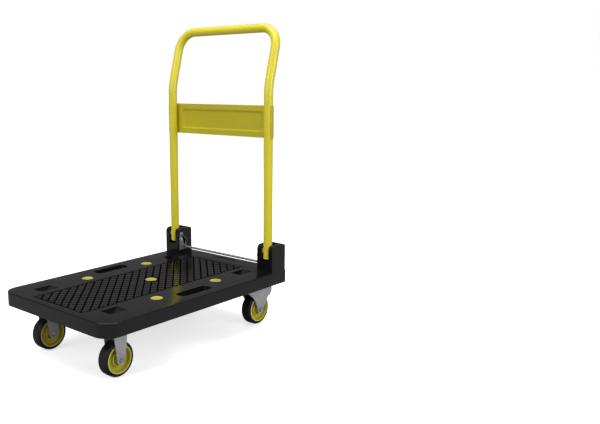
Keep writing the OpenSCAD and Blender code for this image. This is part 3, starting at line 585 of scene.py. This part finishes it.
# the bed under the tiles, with a round hole for the cap, all in the near-black groove material of painted shade
for z, flip in ((PT - GD, False), (PB, True)):
    inner = [bm.verts.new((CAP_HOLE * MM * c, CAP_HOLE * MM * s, z * MM)) for c, s in TURN]
    square = []
    for c, s in TURN:
        tx = 1e9 if abs(c) < 1e-9 else (X1 if c > 0 else X0) / c
        ty = 1e9 if abs(s) < 1e-9 else YH / abs(s)
        square.append(bm.verts.new((c * min(tx, ty) * MM, s * min(tx, ty) * MM, z * MM)))
    if not flip:
        top_inner, top_square = inner, square
    for i in range(N):
        q = (inner[i], square[i], square[(i + 1) % N], inner[(i + 1) % N])
        f = bm.faces.new(q[::-1] if flip else q)
        f.material_index = 1
for a, c in ((top_square, square), (inner, top_inner)):
    for i in range(N):
        f = bm.faces.new((a[i], c[i], c[(i + 1) % N], a[(i + 1) % N]))
        f.material_index = 1
bmesh.ops.recalc_face_normals(bm, faces=bm.faces)
me = bpy.data.meshes.new("tread")
bm.to_mesh(me)
bm.free()
smooth(me, 20)
add("tread_tiles", me, "grip_panel", (MAT["tread_plastic"], GROOVE_SHADE_MAT))

# dished caps with a rolled rim and a stem
for cap in ("cap_front_left", "cap_front_right", "cap_rear_left", "cap_rear_right", "cap_centre"):
    lo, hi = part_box(cap)
    c, r, top = (lo + hi) / 2, (hi.x - lo.x) / 2 / MM, hi.z / MM
    under, stem_r, stem_end = top - 2.9, 6, top - 11.9
    prof = [(0.01, top - 0.95), (stem_r, top - 0.9), (r - 5.6, top - 0.55)]
    prof += arc(r - 2.3, top - 2.0, 2.0, 118, 74, 6)
    prof += arc(r - 1.7, top - 1.9, 1.7, 66, 0, 6)
    prof += [(r, under), (stem_r, under), (stem_r, stem_end), (0.01, stem_end)]
    me = lathe(cap + "_dome", prof, 64)
    me.transform(Matrix.Translation((c.x, c.y, 0)) @ Matrix.Rotation(math.radians(90), 4, "X"))
    smooth(me, 40)
    add(cap + "_dome", me, cap, CAP_MAT)

# ------------------------------------------------------------ towers and latch

COIL_R, WIRE_R = 5.2 * MM, 0.65 * MM             # latch spring
for s in SIDES:
    refine("tower_" + s, 2.4, 3, angle=40)
    # the latch plates take the darker zinc of painted shade
    refine("latch_plate_" + s, 0.5, 2, SHADED_LATCH_MAT)
    refine("pivot_bolt_" + s, 0.4, 2, BOLT_MAT)
    refine("latch_bolt_" + s, 0.5, 2, BOLT_MAT)
    sg = 1 if s == "left" else -1
    lo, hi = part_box("latch_spring_" + s)
    bolt = middle("latch_bolt_" + s)
    r = COIL_R
    y0, y1 = (lo.y, hi.y) if sg > 0 else (hi.y, lo.y)
    y0, y1 = y0 + sg * 0.7 * MM, y1 - sg * 0.7 * MM
    turns, n = 6, 28
    coil = [(bolt.x + r * math.cos(2 * math.pi * i / n), y0 + (y1 - y0) * i / (n * turns),
             bolt.z + r * math.sin(2 * math.pi * i / n)) for i in range(turns * n + 1)]
    path = [(bolt.x + r, y0, lo.z + 0.7 * MM), (bolt.x + r, y0, bolt.z - 2 * MM)] + coil
    path += [(bolt.x + r, y1, bolt.z + 2 * MM), (bolt.x + r, y1, hi.z - 0.7 * MM)]
    add("latch_spring_" + s + "_coil", sweep("coil", path, WIRE_R, 12), "latch_spring_" + s, BOLT_MAT)

lo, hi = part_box("release_rod")
c = (lo + hi) / 2
rr = (hi.z - lo.z) / 2
me = lathe("rod", [(0.01, lo.y / MM), (rr / MM - 0.6, lo.y / MM), (rr / MM, lo.y / MM + 0.6),
                   (rr / MM, hi.y / MM - 0.6), (rr / MM - 0.6, hi.y / MM), (0.01, hi.y / MM)], 48)
me.transform(Matrix.Translation((c.x, 0, c.z)))
smooth(me, 40)
add("release_rod_bar", me, "release_rod", BOLT_MAT)

# ------------------------------------------------------------ handle

fold = next(j for j in frame["joints"] if j["name"] == "handle_fold")
px, pz = fold["pos_m"][0], fold["pos_m"][2]
tube_lo, tube_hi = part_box("handle_tube")
TR = 14 * MM
leg_x, leg_y = px, tube_hi.y - TR
LEAN, BEND_R, CORNER_R = math.radians(14.6), 200 * MM, 62 * MM
LEG_H, TIP_L = 510 * MM, 186 * MM                # pivot to bend, bend to top bar
bend_t = round(BEND_R / MM * math.tan(LEAN / 2), 2) * MM
bend_z = pz + LEG_H - bend_t
lean_l = TIP_L - bend_t - CORNER_R
half = [(leg_x, leg_y, tube_lo.z + (bend_z - tube_lo.z) * i / 12) for i in range(12)]
for i in range(19):
    a = LEAN * i / 18
    half.append((leg_x + BEND_R * (1 - math.cos(a)), leg_y, bend_z + BEND_R * math.sin(a)))
ex, ez = half[-1][0], half[-1][2]
up = Vector((math.sin(LEAN), 0, math.cos(LEAN)))
half += [tuple(Vector((ex, leg_y, ez)) + up * lean_l * i / 4) for i in range(1, 4)]
top_c = Vector((ex, leg_y - CORNER_R, ez)) + up * lean_l
for i in range(21):
    a = math.radians(90 * i / 20)
    half.append(tuple(top_c + Vector((0, CORNER_R * math.cos(a), 0)) + up * CORNER_R * math.sin(a)))
path = half + [(x, -y, z) for x, y, z in reversed(half)]
me = sweep("tube", path, TR, 56)
add("handle_tube_bent", me, "handle_tube", body="handle")

# the cross plate: one sheet with a soft pressed panel and wrapped ends
lo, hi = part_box("cross_plate")
T = 2 * MM                                       # sheet thickness
PRESS, MARGIN = 3 * MM, 20 * MM                  # depth of the pressed panel, and its plain border
r0 = TR + 0.05 * MM
front_x = leg_x + r0
wrap = math.radians(115)
zs = [lo.z + (hi.z - lo.z) * i / 60 for i in range(61)]
ys = [(-leg_y + 2 * leg_y * i / 220) for i in range(221)]
arcs = [wrap * i / 16 for i in range(1, 17)]
press_y, press_z = leg_y - TR - MARGIN, (hi.z - lo.z) / 2 - MARGIN
mid_z = (lo.z + hi.z) / 2


def pressed(y, z):
    """How far the sheet is pressed back at a point: a rounded panel with a soft wall."""
    rad = 7 * MM
    dx, dz = max(abs(y) - press_y + rad, 0), max(abs(z - mid_z) - press_z + rad, 0)
    d = math.hypot(dx, dz) - rad
    if dx == 0 or dz == 0:
        d = max(abs(y) - press_y, abs(z - mid_z) - press_z)
    t = min(max((2.2 * MM - d) / (4.4 * MM), 0), 1)
    return PRESS * t * t * (3 - 2 * t)


bm = bmesh.new()
grid = []
for z in zs:
    row = []
    for a in reversed(arcs):
        row.append((leg_x + r0 * math.cos(a), -leg_y - r0 * math.sin(a), z, -a))
    for y in ys:
        row.append((front_x + pressed(y, z), y, z, None))
    for a in arcs:
        row.append((leg_x + r0 * math.cos(a), leg_y + r0 * math.sin(a), z, a))
    grid.append([bm.verts.new(p[:3]) for p in row])
for a, b in zip(grid, grid[1:]):
    for k in range(len(a) - 1):
        bm.faces.new((a[k], b[k], b[k + 1], a[k + 1]))
bmesh.ops.recalc_face_normals(bm, faces=bm.faces)
probe = min(bm.faces, key=lambda f: (f.calc_center_median() - Vector((front_x, 0, lo.z))).length)
if probe.normal.x < 0:
    bmesh.ops.reverse_faces(bm, faces=bm.faces)
me = bpy.data.meshes.new("plate")
bm.to_mesh(me)
bm.free()
me.shade_smooth()
# the plate takes the darker yellow paint of painted shade
plate = add("cross_plate_pressed", me, "cross_plate", SHADED_PLATE_MAT)
so = plate.modifiers.new("sheet", "SOLIDIFY")
so.thickness = T
so.offset = 1
so.use_even_offset = True
bv = plate.modifiers.new("soft_edges", "BEVEL")
bv.width, bv.segments, bv.limit_method, bv.angle_limit = 0.5 * MM, 2, "ANGLE", math.radians(50)
bv.harden_normals = True

refine("plate_rivets", 0.5, 2, BOLT_MAT)
for s in SIDES:
    refine("tube_plug_" + s, 0.5, 2)

# ------------------------------------------------------------ casters

for s in SIDES:
    refine("front_fork_" + s, 1.2, 3, angle=40)
    refine("rear_fork_" + s, 1.2, 3, angle=40)
    refine("swivel_plate_" + s, 0.8, 2)
    refine("kingpin_" + s, 0.8, 2, BOLT_MAT)

# (radius, width) outlines in millimetres, and the rings of the core at rim and hub painted much lighter as a
# painted highlight
TYRE = [(40.6, -15.8), (41.2, -17.0), (42.2, -17.7), (45.2, -18.0), (46.0, -17.5), (46.4, -16.6)]
TYRE = TYRE + arc(45.4, -11.2, 4.4, -70, -8, 7) + [(49.9, -7.0), (50.0, 0.0)]
TYRE = TYRE + [(r, -w) for r, w in reversed(TYRE[:-1])]
TYRE += [(40.6, 4.0), (40.9, 3.6), (40.9, -3.6), (40.6, -4.0)]
CORE = [(6.7, -20.2), (10.4, -20.2), (11.2, -19.4), (11.6, -12.0), (12.6, -9.6), (14.6, -8.4), (16.4, -9.2),
        (17.2, -11.6), (17.8, -12.4), (19.4, -12.4), (20.2, -11.6), (20.8, -7.4), (22.4, -5.4), (32.4, -4.6),
        (34.4, -5.4), (35.4, -7.4), (36.2, -15.4), (36.8, -16.9), (37.6, -17.4), (39.6, -17.4), (40.4, -16.6),
        (40.5, -4.2), (40.8, -3.6)]
CORE = CORE + [(r, -w) for r, w in reversed(CORE)]
RIM_HIGHLIGHT_RING, HUB_HIGHLIGHT_RING = (37.2, 40.45), (17.5, 19.9)
for w in WHEELS:
    c = middle("wheel_" + w)
    place = Matrix.Translation(c)
    me = lathe("tyre", TYRE)
    me.transform(place)
    smooth(me, 50)
    add("tyre_" + w + "_round", me, "tyre_" + w)
    me = lathe("core", CORE)
    me.transform(place)
    smooth(me, 34)
    # painted highlight: faces in the rim and hub rings take the much lighter yellow
    for f in me.polygons:
        r = math.hypot(f.center.x - c.x, f.center.z - c.z) / MM
        f.material_index = int(any(near < r < far for near, far in (RIM_HIGHLIGHT_RING, HUB_HIGHLIGHT_RING)))
    add("wheel_" + w + "_core", me, "wheel_" + w, (MAT["yellow_plastic"], HIGHLIGHT_RING_MAT))
    refine("axle_bolt_" + w, 0.7, 2, BOLT_MAT)
    refine("axle_nut_" + w, 0.6, 2, BOLT_MAT)
refine("caster_bolts", 0.5, 2, BOLT_MAT)

# the CAD nodes that stay get their finish
for name, o in NODES.items():
    if not o.hide_render:
        dress(o, BOLT_MAT if any(k in name for k in ("nut", "screw", "bolt")) else MAT[SLOT_OF[name]])

# ------------------------------------------------------------ floor

# the floor is pale and glows a little to the camera, and is darker to every other ray
FLOOR_DARK, FLOOR_GLOW = 0.30, 0.62
bm = bmesh.new()
bmesh.ops.create_grid(bm, x_segments=8, y_segments=8, size=9)
me = bpy.data.meshes.new("floor")
bm.to_mesh(me)
bm.free()
floor = bpy.data.objects.new("floor", me)
scene.collection.objects.link(floor)
m, nt, b = new_mat("floor")
rays = nt.nodes.new("ShaderNodeLightPath")
pale = ramp(nt, noise(nt, 0.6, 3), [(0.3, grey(0.90)), (0.7, grey(0.93))])
nt.links.new(mix(nt, grey(FLOOR_DARK), pale, rays.outputs["Is Camera Ray"]), b.inputs["Base Color"])
b.inputs["Roughness"].default_value = 0.9
b.inputs["Specular IOR Level"].default_value = 0.0
b.inputs["Emission Color"].default_value = (1, 1, 1, 1)
glow = nt.nodes.new("ShaderNodeMath")
glow.operation = "MULTIPLY"
glow.inputs[1].default_value = FLOOR_GLOW
nt.links.new(rays.outputs["Is Camera Ray"], glow.inputs[0])
nt.links.new(glow.outputs[0], b.inputs["Emission Strength"])
floor.data.materials.append(m)
floor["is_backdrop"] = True

lo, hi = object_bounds()
